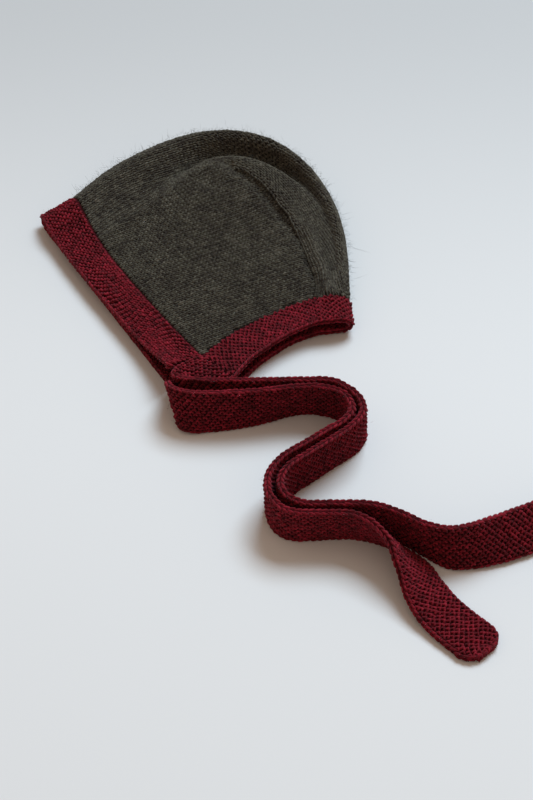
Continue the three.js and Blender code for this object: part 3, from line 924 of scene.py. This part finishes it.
def crown_stitches():
    """The stitches of the crown's strip and side panel, a piece each, with their loose fibres."""
    rng = np.random.default_rng(SEED)
    template = knit_stitch()
    for name, (p, across, along, up) in {
        "crown_strip_stitches": strip_stitches(rng),
        "crown_side_stitches": panel_stitches(),
    }.items():
        p = p + up * (CROWN_CLOTH / 2 - 0.1) + rng.normal(0, 0.1, p.shape)
        points, faces, tone = scatter(template, p, across, along, up, rng)
        points[:, 2] = np.maximum(points[:, 2], YARN_LOWEST)
        new_piece(name, points, faces, olive, tone)
        fuzz_name = name.replace("stitches", "fuzz")
        reach, thickness = CROWN_FUZZ_REACH, CROWN_FUZZ_THICKNESS
        fuzz(fuzz_name, p + up, up, CROWN_FUZZ[name], reach, thickness, olive, FUZZ_SEED)


crown_stitches()


# ---------------------------------------------------------------- floor, light, camera
CAMERA_DISTANCE = 897.7 * MM
CAMERA_ELEVATION = math.radians(45)
CAMERA_LENS = 77.97
VIEW_CENTRE = (50, -14, 0)
KEY_DISTANCE = 3.5
KEY_FROM = Vector((0.45, 0.8, 1.15)).normalized()
FLOOR_HALF = 4.0

# Painted shade on the floor: the paper is painted lighter near the camera than far from it, standing in for
# the light falling off.
# Two distances in metres, and the painted grey at each.
FLOOR_NEAR, FLOOR_FAR = -0.08, 0.42
PAINTED_GREY_NEAR, PAINTED_GREY_FAR = 0.77, 0.5


def look_from(obj, target, offset):
    """Place a camera or light at an offset from a target, facing it."""
    obj.location = target + offset
    obj.rotation_mode = "QUATERNION"
    obj.rotation_quaternion = (-offset).to_track_quat("-Z", "Y")


def stage():
    """The camera, one large soft light, the sky's fill and a sheet of paper to lie on, with painted shade
    that darkens it far from the camera.
    """
    scene = bpy.context.scene
    scene.view_settings.view_transform = "Standard"
    target = Vector(to_row([VIEW_CENTRE])[0])

    data = bpy.data.cameras.new("camera")
    data.sensor_width = 36
    data.lens = CAMERA_LENS
    camera = bpy.data.objects.new("camera", data)
    scene.collection.objects.link(camera)
    back = Vector((0, -math.cos(CAMERA_ELEVATION), math.sin(CAMERA_ELEVATION)))
    look_from(camera, target, back * CAMERA_DISTANCE)
    scene.camera = camera

    key = bpy.data.lights.new("key", "AREA")
    key.shape = "RECTANGLE"
    key.size, key.size_y = 1.9, 1.5
    key.energy = 130
    key.color = (0.70, 0.87, 1.0)
    light = bpy.data.objects.new("key", key)
    scene.collection.objects.link(light)
    look_from(light, target, KEY_FROM * KEY_DISTANCE)

    world = bpy.data.worlds.new("studio")
    world.use_nodes = True
    world.node_tree.nodes["Background"].inputs["Color"].default_value = (1.0, 0.78, 0.62, 1)
    world.node_tree.nodes["Background"].inputs["Strength"].default_value = 0.42
    scene.world = world

    mesh = bpy.data.meshes.new("floor")
    corners = [(FLOOR_HALF * x, FLOOR_HALF * y, 0) for x, y in ((-1, -1), (1, -1), (1, 1), (-1, 1))]
    mesh.from_pydata(corners, [], [(0, 1, 2, 3)])
    floor = bpy.data.objects.new("floor", mesh)
    scene.collection.objects.link(floor)
    paper = bpy.data.materials.new("paper")
    paper.use_nodes = True
    nodes, links = paper.node_tree.nodes, paper.node_tree.links
    shader = nodes["Principled BSDF"]
    shader.inputs["Roughness"].default_value = 0.8
    place = nodes.new("ShaderNodeTexCoord")
    split = nodes.new("ShaderNodeSeparateXYZ")
    links.new(place.outputs["Object"], split.inputs["Vector"])
    # Painted shade: the paper's grey falls from near the camera to far from it.
    ramp = nodes.new("ShaderNodeMapRange")
    ramp.interpolation_type = "SMOOTHSTEP"
    ramp.inputs["From Min"].default_value = FLOOR_NEAR
    ramp.inputs["From Max"].default_value = FLOOR_FAR
    ramp.inputs["To Min"].default_value = PAINTED_GREY_NEAR
    ramp.inputs["To Max"].default_value = PAINTED_GREY_FAR
    links.new(split.outputs["Y"], ramp.inputs["Value"])
    links.new(ramp.outputs["Result"], shader.inputs["Base Color"])
    mesh.materials.append(paper)


stage()
